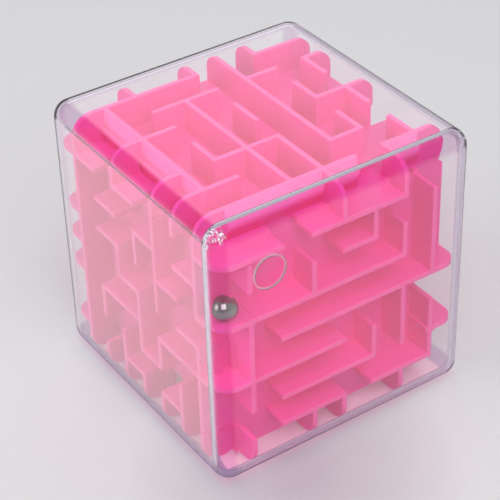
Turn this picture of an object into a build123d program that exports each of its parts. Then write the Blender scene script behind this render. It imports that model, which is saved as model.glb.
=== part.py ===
from build123d import *
import os

# Ball-in-a-maze puzzle cube: a clear box in two halves, a cube of six maze panels and one steel ball.
# +Z is up, the lid faces -Y, and the origin is the middle of the face it stands on. Millimetres.

os.makedirs("parts", exist_ok=True)

# Case
case_size = 60.0
case_edge_radius = 3.7
case_wall = 1.5
lid_depth = case_edge_radius
lid_seam_gap = 0.1
mark_ring_radius = 3.8
mark_ring_width = 0.6
mark_ring_depth = 0.3

# Maze cube, all about its own centre
pitch = 7.2
wall_thickness = 1.0
core_clearance = 0.3
core_half = case_size / 2 - case_wall - core_clearance
core_edge_radius = 3.4
plate_thickness = 1.5
cap_floor = 3 * pitch                       # floor level of the top and bottom panels
side_floor = cap_floor + wall_thickness / 2  # floor level of the four side panels
seat_gap = wall_thickness / 2               # gap between a side wall's tip and the fin above it
butt_gap = 0.1                              # seam between shelves of two panels
core_z = case_wall + core_half

# Ball
ball_diameter = 5.0
ball_gap = 0.1
ball_x = -25.2
ball_y = -25.0

half_wall = wall_thickness / 2
plate_end = cap_floor - plate_thickness
wall_tip = cap_floor - seat_gap
mark_ring_place = (-2.5 * pitch, -case_size / 2, core_z + 2.5 * pitch)
plate_back = side_floor - plate_thickness
case_half = case_size / 2

# Maze walls. A wall is (line, start, end): it stands on grid line `line` and runs between two grid lines
# of the other direction. Lines count from the middle of the face, and 4 is the outside of the cube.
# First the walls of the top, as seen from above: those along X, then those along Y.
top_along_x = [
    (3, -4, 0), (3, 2, 4), (2, -2, 0), (2, 1, 2), (2, 3, 4), (1, -4, -2), (0, 2, 4),
    (-1, -4, -3), (-1, -2, 0), (-2, -4, -2), (-2, 1, 2), (-3, -4, 1), (-3, 2, 4),
]
top_along_y = [
    (-3, -2, 3), (-2, 3, 4), (-2, -1, 0), (-1, -3, 2), (0, 3, 4), (0, 0, 1), (0, -4, -1), (1, -2, 4),
    (2, 3, 4), (2, 0, 1), (2, -2, -1), (2, -4, -3), (3, 1, 2), (3, -1, 0), (3, -3, -2),
]
bottom_along_x = [
    (-3, -4, 3), (-2, -4, -1), (-2, 1, 4), (-1, -4, 0), (0, -4, -3), (0, 1, 3), (1, -4, -1), (1, 0, 2),
    (2, -4, -3), (2, -2, 1), (3, -4, -2), (3, 0, 4),
]
bottom_along_y = [
    (-3, -4, -3), (-3, -2, -1), (-3, 2, 3), (-2, -1, 0), (-1, -4, -3), (-1, 1, 3), (0, -4, -2), (0, 0, 1),
    (1, -1, 0), (1, 3, 4), (2, -4, -3), (2, 1, 2), (3, -1, 1), (3, 2, 3),
]

# Shelves that the top and bottom plates carry out over each side, level with the plate.
top_tabs = {
    "front": [(-4, -2), (-1, 2)],
    "back": [(-4, -1), (0, 1), (2, 3)],
    "left": [(2, 4), (0, 1)],
    "right": [(-2, -1), (1, 3)],
}
bottom_tabs = {
    "front": [(-2, 0), (1, 3)],
    "back": [(-4, -2), (-1, 1)],
    "left": [(3, 4), (0, 1), (-2, -1)],
    "right": [(-3, -1), (0, 2)],
}

# Side walls: level ones (height line, start, end), then upright ones (line, lower end, upper end).
# Front and back count along X, left and right along Y.
front_level = [(2, 0, 1), (0, -2, 4), (-2, -2, 1)]
front_upright = [(-1, 1, 2), (1, 2, 3), (1, -2, -1), (2, 1, 2), (2, -2, 0)]
back_level = [(2, -2, 0), (1, 1, 3), (0, -1, 1), (-1, 1, 2), (-2, -1, 1), (-2, 2, 4)]
back_upright = [(-2, 1, 2), (-1, 0, 1), (0, 2, 3), (1, -1, 0), (2, -1, 0), (0, -3, -2), (-2, -2, -1)]
left_level = [
    (2, 1, 2), (2, -1, 0), (2, -3, -2), (1, 3, 4), (1, 1, 2), (1, -2, -1), (1, -4, -3), (0, 3, 4),
    (0, 0, 1), (0, -3, -2), (-1, 3, 4), (-1, 0, 2), (-1, -4, -1), (-2, -1, 0),
]
left_upright = [
    (-3, 1, 3), (-3, -3, 0), (-2, -3, -2), (-1, 0, 3), (-1, -2, -1), (0, 1, 2), (0, -2, 0), (1, 0, 1),
    (1, -3, -2), (2, -2, -1), (3, -3, 3),
]
right_level = [(2, -1, 1), (1, -2, 0), (0, 1, 2), (-1, -1, 1), (-2, -4, -2), (-2, 2, 3)]
right_upright = [(-3, 0, 3), (-2, -1, 0), (-1, 1, 2), (0, -2, -1), (1, 1, 3), (2, -1, 1), (3, -3, -1)]

# Shelves of the front and back panels that meet a fin of the left panel on the cube's upright edge.
front_butted = [(1, 2), (-1, 0)]
back_butted = [(1, -2), (0, -2), (-1, -2)]

# Upright tabs (lower end, upper end) that the left and right plates carry out in front and behind.
left_tabs = {"front": [(2, 3), (-2, 1)], "back": [(-1, 0), (1, 3)]}
right_tabs = {"front": [(0, 3), (-3, -1)], "back": [(-3, -1), (0, 1)]}


def line(k):
    """Place of grid line k; line 4 is the outside of the maze cube."""
    if abs(k) == 4:
        return core_half if k > 0 else -core_half
    return k * pitch


def span(start, end):
    """Ends of a wall from grid line start to grid line end, closing the corners it meets."""
    low = line(start) - (0 if start == -4 else half_wall)
    high = line(end) + (0 if end == 4 else half_wall)
    return low, high


def block(x_ends, y_ends, z_ends):
    """Add a box given by its ends along each axis, heights counted from the maze cube's centre."""
    size = [ends[1] - ends[0] for ends in (x_ends, y_ends, z_ends)]
    middle = [(ends[0] + ends[1]) / 2 for ends in (x_ends, y_ends, z_ends)]
    with Locations((middle[0], middle[1], core_z + middle[2])):
        Box(*size)


def outward(side, near, far):
    """Ends, low first, of a stretch from near to far on the positive (1) or negative (-1) side."""
    return (near, far) if side > 0 else (-far, -near)


def around(k):
    """Ends of a wall's thickness on grid line k."""
    return line(k) - half_wall, line(k) + half_wall


def cap_panel(side, along_x, along_y, tabs):
    """Add the top (side 1) or bottom (side -1) panel: plate, walls, crossing fins and tabs."""
    plate = (-side_floor, side_floor)
    block(plate, plate, outward(side, cap_floor - plate_thickness, cap_floor))
    for k, start, end in along_x:
        block(span(start, end), around(k), outward(side, cap_floor, core_half))
    for k, start, end in along_y:
        block(around(k), span(start, end), outward(side, cap_floor, core_half))
    level = outward(side, cap_floor - wall_thickness, cap_floor)
    tab_root = side_floor - wall_thickness
    for start, end in tabs["front"]:
        block(span(start, end), outward(-1, tab_root, core_half), level)
    for start, end in tabs["back"]:
        block(span(start, end), outward(1, tab_root, core_half), level)
    for start, end in tabs["left"]:
        block(outward(-1, tab_root, core_half), span(start, end), level)
    for start, end in tabs["right"]:
        block(outward(1, tab_root, core_half), span(start, end), level)


def rise(lower, upper, tip):
    """Ends of an upright wall or tab on a side, going no higher or lower than tip."""
    low, high = span(lower, upper)
    return max(low, -tip), min(high, tip)


def front_back_panel(side, level, upright, butted):
    """Add the back (side 1) or front (side -1) panel, which fits between the left and right plates."""
    depth = outward(side, side_floor, core_half)
    plate_width = (-plate_back, plate_back)
    block(plate_width, outward(side, plate_back, side_floor), (-plate_end, plate_end))
    for k, start, end in level:
        block(span(start, end), depth, around(k))
    for k, end in butted:
        block((-plate_back + butt_gap, line(end) + half_wall), depth, around(k))
    for k, lower, upper in upright:
        block(around(k), depth, rise(lower, upper, wall_tip))


def left_right_panel(side, level, upright, tabs):
    """Add the right (side 1) or left (side -1) panel, with its fins and tabs round both upright edges."""
    depth = outward(side, side_floor, core_half)
    plate_width = (-side_floor, side_floor)
    block(outward(side, plate_back, side_floor), plate_width, (-plate_end, plate_end))
    fin = outward(side, plate_back, core_half)
    for k, start, end in level:
        block(depth, span(start, end), around(k))
        if start == -4:
            block(fin, outward(-1, side_floor, core_half), around(k))
        if end == 4:
            block(fin, outward(1, side_floor, core_half), around(k))
    for k, lower, upper in upright:
        block(depth, around(k), rise(lower, upper, wall_tip))
    edge = outward(side, side_floor - wall_thickness, side_floor)
    for lower, upper in tabs["front"]:
        block(edge, outward(-1, side_floor, core_half), rise(lower, upper, plate_end))
    for lower, upper in tabs["back"]:
        block(edge, outward(1, side_floor, core_half), rise(lower, upper, plate_end))


# Case: the outside and the inside as rounded blocks, cut in two at the seam behind the lid's rounding
with BuildPart() as case_inside:
    with Locations((0, 0, case_half)):
        Box(case_size - 2 * case_wall, case_size - 2 * case_wall, case_size - 2 * case_wall)
    fillet(case_inside.edges(), case_edge_radius - case_wall)

with BuildPart() as case_body:
    with Locations((0, 0, case_half)):
        Box(case_size, case_size, case_size)
    fillet(case_body.edges(), case_edge_radius)
    add(case_inside.part, mode=Mode.SUBTRACT)
    split(bisect_by=Plane.XZ.offset(case_half - lid_depth - lid_seam_gap / 2), keep=Keep.BOTTOM)

with BuildPart() as case_lid:
    with Locations((0, 0, case_half)):
        Box(case_size, case_size, case_size)
    fillet(case_lid.edges(), case_edge_radius)
    add(case_inside.part, mode=Mode.SUBTRACT)
    split(bisect_by=Plane.XZ.offset(case_half - lid_depth + lid_seam_gap / 2), keep=Keep.TOP)
    with Locations(Plane(origin=mark_ring_place, x_dir=(1, 0, 0), z_dir=(0, -1, 0))):
        Torus(mark_ring_radius - mark_ring_width / 2, mark_ring_width / 2, mode=Mode.SUBTRACT)

# Maze cube: each panel is trimmed to the rounded cube and notched round the panels made before it
with BuildPart() as envelope:
    with Locations((0, 0, core_z)):
        Box(2 * core_half, 2 * core_half, 2 * core_half)
    fillet(envelope.edges(), core_edge_radius)

with BuildPart() as top_panel:
    cap_panel(1, top_along_x, top_along_y, top_tabs)
    add(envelope.part, mode=Mode.INTERSECT)

with BuildPart() as bottom_panel:
    cap_panel(-1, bottom_along_x, bottom_along_y, bottom_tabs)
    add(envelope.part, mode=Mode.INTERSECT)

with BuildPart() as front_panel:
    front_back_panel(-1, front_level, front_upright, front_butted)
    add(envelope.part, mode=Mode.INTERSECT)
    add([top_panel.part, bottom_panel.part], mode=Mode.SUBTRACT)

with BuildPart() as back_panel:
    front_back_panel(1, back_level, back_upright, back_butted)
    add(envelope.part, mode=Mode.INTERSECT)
    add([top_panel.part, bottom_panel.part], mode=Mode.SUBTRACT)

with BuildPart() as left_panel:
    left_right_panel(-1, left_level, left_upright, left_tabs)
    add(envelope.part, mode=Mode.INTERSECT)
    add([top_panel.part, bottom_panel.part, front_panel.part, back_panel.part], mode=Mode.SUBTRACT)

with BuildPart() as right_panel:
    left_right_panel(1, right_level, right_upright, right_tabs)
    add(envelope.part, mode=Mode.INTERSECT)
    add([top_panel.part, bottom_panel.part, front_panel.part, back_panel.part], mode=Mode.SUBTRACT)

# Ball, on the fin round the left front edge one pitch above the middle, in line with the front shelf
with BuildPart() as steel_ball:
    with Locations((ball_x, ball_y, core_z + pitch + half_wall + ball_gap + ball_diameter / 2)):
        Sphere(ball_diameter / 2)

pieces = {
    "case_body": case_body,
    "case_lid": case_lid,
    "top_panel": top_panel,
    "bottom_panel": bottom_panel,
    "front_panel": front_panel,
    "back_panel": back_panel,
    "left_panel": left_panel,
    "right_panel": right_panel,
    "steel_ball": steel_ball,
}
for name, piece in pieces.items():
    piece.part.label = name
    export_step(piece.part, f"parts/{name}.step")
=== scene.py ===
import math

import bpy
from mathutils import Matrix, Vector


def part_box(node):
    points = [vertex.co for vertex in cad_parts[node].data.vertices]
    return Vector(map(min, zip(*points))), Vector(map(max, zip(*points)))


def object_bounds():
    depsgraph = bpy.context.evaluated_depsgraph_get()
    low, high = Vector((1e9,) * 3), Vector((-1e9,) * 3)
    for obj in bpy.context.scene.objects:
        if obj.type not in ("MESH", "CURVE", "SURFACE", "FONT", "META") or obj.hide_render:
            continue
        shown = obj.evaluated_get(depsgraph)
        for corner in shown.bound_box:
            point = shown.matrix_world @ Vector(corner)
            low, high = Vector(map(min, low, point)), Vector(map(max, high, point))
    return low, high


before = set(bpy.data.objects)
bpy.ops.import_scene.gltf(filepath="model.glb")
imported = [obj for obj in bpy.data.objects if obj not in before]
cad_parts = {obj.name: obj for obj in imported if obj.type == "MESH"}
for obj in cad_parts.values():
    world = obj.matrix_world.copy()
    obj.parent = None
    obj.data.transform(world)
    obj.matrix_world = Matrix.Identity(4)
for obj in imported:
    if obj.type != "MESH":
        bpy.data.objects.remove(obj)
cad_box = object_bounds()

# ---------- sizes, in metres ----------

PITCH = 0.0072
WALL = 0.001
PANELS = ("top_panel", "bottom_panel", "front_panel", "back_panel", "left_panel", "right_panel")
CASE = ("case_body", "case_lid")

# The maze cube's middle, and how far its wall tips and the case's faces lie from there
LOWEST = Vector([min(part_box(name)[0][i] for name in PANELS) for i in range(3)])
HIGHEST = Vector([max(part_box(name)[1][i] for name in PANELS) for i in range(3)])
MIDDLE = (LOWEST + HIGHEST) / 2
CORE_HALF = (HIGHEST.x - LOWEST.x) / 2
CASE_HALF = (cad_box[1][0] - cad_box[0][0]) / 2

# How far the outermost wall lines, and the outer faces of the walls on them, lie from the middle
GRID_HALF = 3 * PITCH
PLATE_HALF = GRID_HALF + WALL / 2

# How close to a plane a point of a mesh counts as on it
CLOSE = 0.00005

# Depths below the wall tips between which their painted highlight, a paler pink, comes in
TIP_HIGHLIGHT_DEPTHS = (0.0003, 0.0001)

# The mark ring on the lid: its centre along X and Z from the middle, its radii, and a depth behind the lid's
# face that holds its groove
RING_CENTRE = (-2.5 * PITCH, 2.5 * PITCH)
RING_INNER, RING_OUTER = 0.0032, 0.0038
RING_DEPTH = 0.001

# Dried solvent at the lid's upper corners, its pale specks painted glints: place from the middle, and reach
GLUE_MARKS = (
    ((-0.0284, -0.0284, 0.0295), 0.0024),
    ((0.0286, -0.0284, 0.0292), 0.0018))

# Depths behind a case face between which its painted reflection haze ends
REFLECTION_HAZE_DEPTHS = (0.0014, 0.0018)

# Painted lilac reflection haze on the case's edges: heights above its bottom and distances from its left
# face between which it falls off, and the width of its weak band along the right face
HAZE_HEIGHTS = (0.0028, 0.0042)
HAZE_WIDTHS = (0.003, 0.006)
HAZE_RIGHT = 0.004

# The lilac shade on the floor: its middle, and the distances from there between which it falls off
SHADE_MIDDLE = (-0.016, -0.034, 0.0)
SHADE_NEAR, SHADE_FAR = 0.004, 0.034

# Width of the band inside the case's outline over which the pink light under the cube falls off
LIGHT_BAND = 0.004

# ---------- shares and colours ----------

# How much of the case a milky layer covers: as painted reflection haze in general, on the lid and on the left
# face, and as frost in the mark ring
FACE_REFLECTION_HAZE, LID_REFLECTION_HAZE, LEFT_REFLECTION_HAZE, FILM_RING = 0.010, 0.022, 0.14, 0.24

# How much painted reflection haze the bottom edge carries at the left and further right, and how much the
# right edges carry
HAZE_NEAR, HAZE_FAR, HAZE_ASIDE = 0.65, 0.2, 0.12

# How much of the light on the pink plastic scatters through it
GLOW = 0.3

# The largest part of a normal along one axis, on a rounded edge and on a flat face
ROUNDED, FLAT = 0.985, 0.999

# Colours, as linear red, green and blue
# The deep and pale pinks are the plastic's own cloudy tone; the tip pink is a painted highlight on the wall
# tips
PINK_DEEP, PINK_PALE, PINK_TIP_HIGHLIGHT = (0.86, 0.055, 0.385), (0.91, 0.067, 0.42), (0.98, 0.13, 0.48)
# Painted shade, deep magenta, at the foot of the top panel's rim walls, and painted light, pale pink, at
# their top
RIM_FOOT_SHADE, RIM_TOP_LIGHT = (0.80, 0.03, 0.24), (1.0, 0.20, 0.62)
THROUGH_PLATES, THROUGH_WALLS = (0.95, 0.72, 0.84), (0.55, 0.22, 0.42)
# The edge colour is a painted lilac reflection on the case's rounded edges
CLEAR_EDGE_REFLECTION, CLEAR_FACE = (0.87, 0.76, 0.90), (0.985, 0.978, 0.99)
# The milky white is painted reflection haze on the case's faces and frost in the mark ring; the lilac is
# painted reflection haze on its edges
HAZE_AND_FROST_WHITE, LILAC_EDGE_REFLECTION = (0.90, 0.84, 0.84), (0.43, 0.33, 0.50)
# Dried solvent: dark crust, and pale specks that are painted glints
CRUST_DARK, CRUST_AND_GLINT_PALE = (0.16, 0.12, 0.18), (1.0, 0.98, 1.0)
STEEL = (0.31, 0.32, 0.27)
# The floor's shade is a painted shadow of the cube, and its pink is painted light under the cube
FLOOR_SHADE, FLOOR_PLAIN, FLOOR_PINK_LIGHT = (0.50, 0.44, 0.49), (0.69, 0.68, 0.69), (0.76, 0.44, 0.56)
WHITE = (1.0, 1.0, 1.0)
SKY = (0.95, 0.96, 1.0)


# ---------- node helpers ----------

def new_material(name):
    """A new material, its node tree and its Principled shader."""
    material = bpy.data.materials.new(name)
    material.use_nodes = True
    tree = material.node_tree
    return material, tree, tree.nodes["Principled BSDF"]


def feed(tree, socket, value):
    """Give an input socket its value: another node's output, a colour or a plain number."""
    if isinstance(value, bpy.types.NodeSocket):
        tree.links.new(value, socket)
    elif isinstance(value, tuple):
        socket.default_value = (*value, 1.0)
    else:
        socket.default_value = value


def object_place(tree):
    """Where a point lies in object coordinates, in which one unit is a metre."""
    return tree.nodes.new("ShaderNodeTexCoord").outputs["Object"]


def noise(tree, scale, detail=2.0, roughness=0.5):
    """The value of a noise texture in object coordinates."""
    texture = tree.nodes.new("ShaderNodeTexNoise")
    feed(tree, texture.inputs["Vector"], object_place(tree))
    feed(tree, texture.inputs["Scale"], scale)
    feed(tree, texture.inputs["Detail"], detail)
    feed(tree, texture.inputs["Roughness"], roughness)
    return texture.outputs["Fac"]


def ramp(tree, source, *stops):
    """A colour that runs through two (position, colour) stops, as source does."""
    node = tree.nodes.new("ShaderNodeValToRGB")
    for element, (position, colour) in zip(node.color_ramp.elements, stops):
        element.position = position
        element.color = (*colour, 1.0)
    feed(tree, node.inputs["Fac"], source)
    return node.outputs["Color"]


def mix_colour(tree, factor, first, second):
    """A colour between first and second, either of which is a socket or a colour."""
    node = tree.nodes.new("ShaderNodeMix")
    node.data_type = "RGBA"
    feed(tree, node.inputs["Factor"], factor)
    feed(tree, node.inputs["A"], first)
    feed(tree, node.inputs["B"], second)
    return node.outputs["Result"]


def spread(tree, source, low, high, start=0.0, end=1.0):
    """A value that runs from low to high while source runs from start to end."""
    node = tree.nodes.new("ShaderNodeMapRange")
    feed(tree, node.inputs["From Min"], start)
    feed(tree, node.inputs["From Max"], end)
    feed(tree, node.inputs["To Min"], low)
    feed(tree, node.inputs["To Max"], high)
    feed(tree, node.inputs["Value"], source)
    return node.outputs["Result"]


def math_node(tree, operation, *values):
    """The result of a Math node on sockets or plain numbers."""
    node = tree.nodes.new("ShaderNodeMath")
    node.operation = operation
    for socket, value in zip(node.inputs, values):
        feed(tree, socket, value)
    return node.outputs["Value"]


def vector_node(tree, operation, vector, constant):
    """A Vector Math node on a vector socket and a constant vector."""
    node = tree.nodes.new("ShaderNodeVectorMath")
    node.operation = operation
    feed(tree, node.inputs[0], vector)
    node.inputs[1].default_value = constant
    return node


def axes(tree, vector):
    """The X, Y and Z of a vector socket."""
    node = tree.nodes.new("ShaderNodeSeparateXYZ")
    feed(tree, node.inputs["Vector"], vector)
    return [node.outputs[axis] for axis in "XYZ"]


def largest(tree, values):
    """The largest absolute value of three sockets."""
    x, y, z = (math_node(tree, "ABSOLUTE", value) for value in values)
    return math_node(tree, "MAXIMUM", math_node(tree, "MAXIMUM", x, y), z)


def from_middle(tree):
    """Where a point lies, along X, Y and Z from the middle of the maze cube."""
    shift = vector_node(tree, "SUBTRACT", object_place(tree), MIDDLE)
    return axes(tree, shift.outputs["Vector"])


def distance(tree, point):
    """How far a place on the surface lies from a fixed point."""
    return vector_node(tree, "DISTANCE", object_place(tree), point).outputs["Value"]


def from_low_face(tree, along, near_share, far_share, depths):
    """near_share next to the case face at the low end of an axis, and far_share beyond the depths given."""
    near, far = depths
    return spread(tree, along, near_share, far_share, near - CASE_HALF, far - CASE_HALF)


def flatness(tree):
    """1 on the faces that lie square to an axis and 0 on rounded edges."""
    normal = tree.nodes.new("ShaderNodeNewGeometry").outputs["Normal"]
    return spread(tree, largest(tree, axes(tree, normal)), 0.0, 1.0, ROUNDED, FLAT)


def diffuse(tree, colour):
    """A matt shader in a colour or the colour of a socket."""
    node = tree.nodes.new("ShaderNodeBsdfDiffuse")
    feed(tree, node.inputs["Color"], colour)
    return node.outputs["BSDF"]


def blend(tree, factor, first, second):
    """A Mix Shader between two shader sockets."""
    mix = tree.nodes.new("ShaderNodeMixShader")
    feed(tree, mix.inputs["Fac"], factor)
    feed(tree, mix.inputs[1], first)
    feed(tree, mix.inputs[2], second)
    return mix.outputs["Shader"]


def lamps_pass(tree, surface, colour):
    """Put the surface on, and let light from lamps through it, in the colour given, to what is behind."""
    rays = tree.nodes.new("ShaderNodeLightPath")
    way = tree.nodes.new("ShaderNodeBsdfTransparent")
    feed(tree, way.inputs["Color"], colour)
    passing = blend(tree, rays.outputs["Is Shadow Ray"], surface, way.outputs["BSDF"])
    feed(tree, tree.nodes["Material Output"].inputs["Surface"], passing)


# ---------- materials ----------

def on_rim(tree):
    """1 on the outer faces of the walls that stand along the edges of the top panel, where shade and light
    are painted, and 0 elsewhere.
    """
    x, y, z = from_middle(tree)
    aside = math_node(tree, "MAXIMUM", math_node(tree, "ABSOLUTE", x), math_node(tree, "ABSOLUTE", y))
    outer = math_node(tree, "COMPARE", aside, PLATE_HALF, CLOSE)
    return math_node(tree, "MULTIPLY", outer, math_node(tree, "GREATER_THAN", z, GRID_HALF))


def pink_colour(tree, reach):
    """Faintly cloudy pink, with a painted highlight on the walls' tips, and painted shade at the foot of the
    top panel's rim walls that turns to painted light up them.
    """
    body = ramp(tree, noise(tree, scale=60.0, detail=3.0), (0.3, PINK_DEEP), (0.7, PINK_PALE))
    tip_highlight = spread(tree, reach, 0.0, 1.0, CORE_HALF - TIP_HIGHLIGHT_DEPTHS[0], CORE_HALF - TIP_HIGHLIGHT_DEPTHS[1])
    # Painted highlight: paler pink on the wall tips
    with_tip_highlight = mix_colour(tree, tip_highlight, body, PINK_TIP_HIGHLIGHT)
    # Painted shade low on the top panel's rim walls, turning to painted light higher up
    rising = spread(tree, from_middle(tree)[2], 0.0, 1.0, GRID_HALF, CORE_HALF)
    rim_shade_and_light = ramp(tree, rising, (0.3, RIM_FOOT_SHADE), (0.6, RIM_TOP_LIGHT))
    return mix_colour(tree, on_rim(tree), with_tip_highlight, rim_shade_and_light)


def pink_plastic():
    """Translucent pink plastic with a satin gloss. More lamplight comes through its plates than its walls."""
    material, tree, shader = new_material("pink_maze")
    reach = largest(tree, from_middle(tree))
    colour = pink_colour(tree, reach)
    feed(tree, shader.inputs["Base Color"], colour)
    fine = noise(tree, scale=900.0)
    feed(tree, shader.inputs["Roughness"], spread(tree, fine, 0.28, 0.33))
    feed(tree, shader.inputs["IOR"], 1.5)
    glow = tree.nodes.new("ShaderNodeBsdfTranslucent")
    feed(tree, glow.inputs["Color"], colour)
    in_walls = spread(tree, reach, 0.0, 1.0, PLATE_HALF + CLOSE, PLATE_HALF + 2 * CLOSE)
    passing = ramp(tree, in_walls, (0.0, THROUGH_PLATES), (1.0, THROUGH_WALLS))
    lamps_pass(tree, blend(tree, GLOW, shader.outputs["BSDF"], glow.outputs["BSDF"]), passing)
    return material


def ring_share(tree):
    """1 in the mark ring's groove and 0 elsewhere."""
    x, y, z = from_middle(tree)
    across = math_node(tree, "SUBTRACT", x, RING_CENTRE[0])
    upward = math_node(tree, "SUBTRACT", z, RING_CENTRE[1])
    across_square = math_node(tree, "POWER", across, 2.0)
    upward_square = math_node(tree, "POWER", upward, 2.0)
    radius = math_node(tree, "SQRT", math_node(tree, "ADD", across_square, upward_square))
    middle, half_width = (RING_INNER + RING_OUTER) / 2, (RING_OUTER - RING_INNER) / 2
    in_ring = math_node(tree, "COMPARE", radius, middle, half_width)
    outside = math_node(tree, "LESS_THAN", y, RING_DEPTH - CASE_HALF)
    return math_node(tree, "MULTIPLY", in_ring, outside)


def haze_and_frost_share(tree, flat):
    """How much of the case a milky layer covers: painted reflection haze, more on its lid and left face, and
    frost, most of all, in the mark ring.
    """
    x, y, _ = from_middle(tree)
    left = from_low_face(tree, x, LEFT_REFLECTION_HAZE, FACE_REFLECTION_HAZE, REFLECTION_HAZE_DEPTHS)
    lid = from_low_face(tree, y, LID_REFLECTION_HAZE, FACE_REFLECTION_HAZE, REFLECTION_HAZE_DEPTHS)
    face_haze = math_node(tree, "MULTIPLY", flat, math_node(tree, "MAXIMUM", left, lid))
    return math_node(tree, "MAXIMUM", face_haze, math_node(tree, "MULTIPLY", ring_share(tree), FILM_RING))


def edge_reflection_share(tree, flat):
    """How much painted lilac reflection haze the rounded edges carry: most at the bottom left, and a little
    on the right.
    """
    x, _, z = from_middle(tree)
    low = from_low_face(tree, z, 1.0, 0.0, HAZE_HEIGHTS)
    low = math_node(tree, "MULTIPLY", low, from_low_face(tree, x, HAZE_NEAR, HAZE_FAR, HAZE_WIDTHS))
    right_side = spread(tree, x, 0.0, HAZE_ASIDE, CASE_HALF - HAZE_RIGHT, CASE_HALF)
    rounded = math_node(tree, "SUBTRACT", 1.0, flat)
    return math_node(tree, "MULTIPLY", rounded, math_node(tree, "MAXIMUM", low, right_side))


def glue_share(tree):
    """How much of the case dried solvent covers: specks, dark crust and pale painted glints, round the lid's
    two upper corners.
    """
    shares = [
        spread(tree, distance(tree, Vector(corner) + MIDDLE), 1.0, 0.0, reach / 2, reach)
        for corner, reach in GLUE_MARKS]
    near = math_node(tree, "MAXIMUM", *shares)
    specks = noise(tree, scale=1500.0, detail=3.0, roughness=0.7)
    return math_node(tree, "MULTIPLY", near, spread(tree, specks, 0.0, 1.0, 0.48, 0.56))


def clear_plastic():
    """Clear hard plastic, with a painted lilac reflection on its rounded edges, a milky layer that is painted
    reflection haze on its faces and frost in the mark ring, painted lilac reflection haze on its edges, and
    dried solvent whose pale specks are painted glints.
    """
    material, tree, shader = new_material("clear_case")
    flat = flatness(tree)
    # Painted reflection: lilac tint on the rounded edges
    feed(tree, shader.inputs["Base Color"], ramp(tree, flat, (0.0, CLEAR_EDGE_REFLECTION), (1.0, CLEAR_FACE)))
    feed(tree, shader.inputs["Transmission Weight"], 1.0)
    feed(tree, shader.inputs["IOR"], 1.49)
    feed(tree, shader.inputs["Roughness"], 0.0)
    # Painted reflection haze on the faces, and frost in the mark ring, as a milky layer
    surface = blend(tree, haze_and_frost_share(tree, flat), shader.outputs["BSDF"], diffuse(tree, HAZE_AND_FROST_WHITE))
    # Painted lilac reflection haze on the rounded edges
    surface = blend(tree, edge_reflection_share(tree, flat), surface, diffuse(tree, LILAC_EDGE_REFLECTION))
    # Dried solvent: dark specks of crust, and pale specks that are painted glints
    crust_and_glints = ramp(tree, noise(tree, scale=2600.0), (0.45, CRUST_DARK), (0.58, CRUST_AND_GLINT_PALE))
    surface = blend(tree, glue_share(tree), surface, diffuse(tree, crust_and_glints))
    lamps_pass(tree, surface, WHITE)
    return material


def steel():
    """Polished steel."""
    material, tree, shader = new_material("steel")
    feed(tree, shader.inputs["Base Color"], STEEL)
    feed(tree, shader.inputs["Metallic"], 1.0)
    fine = noise(tree, scale=700.0, detail=3.0)
    feed(tree, shader.inputs["Roughness"], spread(tree, fine, 0.05, 0.12))
    return material


def floor_paint():
    """Pale grey, with a painted lilac shadow where the cube shades it at the front left, and painted pink
    light under the cube.
    """
    material, tree, shader = new_material("floor")
    away = spread(tree, distance(tree, SHADE_MIDDLE), 0.0, 1.0, SHADE_NEAR, SHADE_FAR)
    plain = ramp(tree, away, (0.0, FLOOR_SHADE), (1.0, FLOOR_PLAIN))
    reach = largest(tree, axes(tree, object_place(tree)))
    # Painted pink light on the floor under the cube
    pink_light_under = spread(tree, reach, 1.0, 0.0, CASE_HALF - LIGHT_BAND, CASE_HALF)
    feed(tree, shader.inputs["Base Color"], mix_colour(tree, pink_light_under, plain, FLOOR_PINK_LIGHT))
    feed(tree, shader.inputs["Roughness"], 0.45)
    return material


def dress(node, material):
    """Give a CAD node its finish."""
    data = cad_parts[node].data
    data.materials.clear()
    data.materials.append(material)


pink = pink_plastic()
clear = clear_plastic()
for name in PANELS:
    dress(name, pink)
for name in CASE:
    dress(name, clear)
dress("steel_ball", steel())

# ---------- floor and light ----------

# A floor exactly on the case's bottom face isn't seen through it, so this one lies a little lower
FLOOR_SIZE, FLOOR_DROP = 6.0, 0.0001
SKY_STRENGTH = 0.52

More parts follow.
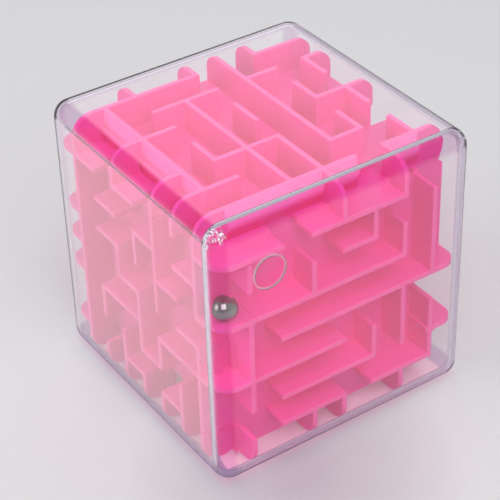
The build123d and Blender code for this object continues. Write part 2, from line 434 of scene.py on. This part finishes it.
# Name, place, width and power of each soft light
SOFTBOXES = (
    ("key", (-0.25, -0.6, 0.76), 0.75, 5.9),
    ("back_card", (0.45, 0.68, 0.61), 0.7, 1.0),
    ("left_card", (-0.9, 0.25, 0.4), 0.6, 3.4))

bpy.ops.mesh.primitive_plane_add(size=FLOOR_SIZE, location=(0, 0, -FLOOR_DROP))
floor = bpy.context.object
floor.name = "floor"
floor.data.materials.append(floor_paint())

world = bpy.data.worlds.new("studio")
bpy.context.scene.world = world
world.use_nodes = True
sky = world.node_tree.nodes["Background"]
feed(world.node_tree, sky.inputs["Color"], SKY)
feed(world.node_tree, sky.inputs["Strength"], SKY_STRENGTH)


def softbox(name, place, width, power):
    """A square area light that faces the case's middle."""
    lamp = bpy.data.lights.new(name, "AREA")
    lamp.size = width
    lamp.energy = power
    holder = bpy.data.objects.new(name, lamp)
    bpy.context.collection.objects.link(holder)
    holder.location = place
    facing = Vector((0, 0, CASE_HALF)) - Vector(place)
    holder.rotation_euler = facing.to_track_quat("-Z", "Y").to_euler()


for box in SOFTBOXES:
    softbox(*box)

# ---------- camera ----------

# Angles round from the front, up from level and of the picture's tilt
AZIMUTH, ELEVATION, ROLL = (math.radians(angle) for angle in (-33.705, 35.435, -1.581))
CAMERA_DISTANCE = 48.0 * PITCH
SENSOR, LENS = 36.0, 121.89
SHIFT = (-0.0196, -0.0178)

heading = Vector((math.sin(AZIMUTH), -math.cos(AZIMUTH), 0))
level = Vector((math.cos(AZIMUTH), math.sin(AZIMUTH), 0))
back = math.cos(ELEVATION) * heading + Vector((0, 0, math.sin(ELEVATION)))
upright = back.cross(level)
right = math.cos(ROLL) * level + math.sin(ROLL) * upright
up = back.cross(right)

camera = bpy.data.objects.new("camera", bpy.data.cameras.new("camera"))
bpy.context.collection.objects.link(camera)
turn = Matrix((right, up, back)).transposed().to_4x4()
camera.matrix_world = Matrix.Translation(MIDDLE + back * CAMERA_DISTANCE) @ turn
camera.data.sensor_width = SENSOR
camera.data.lens = LENS
camera.data.shift_x, camera.data.shift_y = SHIFT
camera.data.clip_start = 0.01
bpy.context.scene.camera = camera
bpy.context.scene.view_settings.view_transform = "Standard"
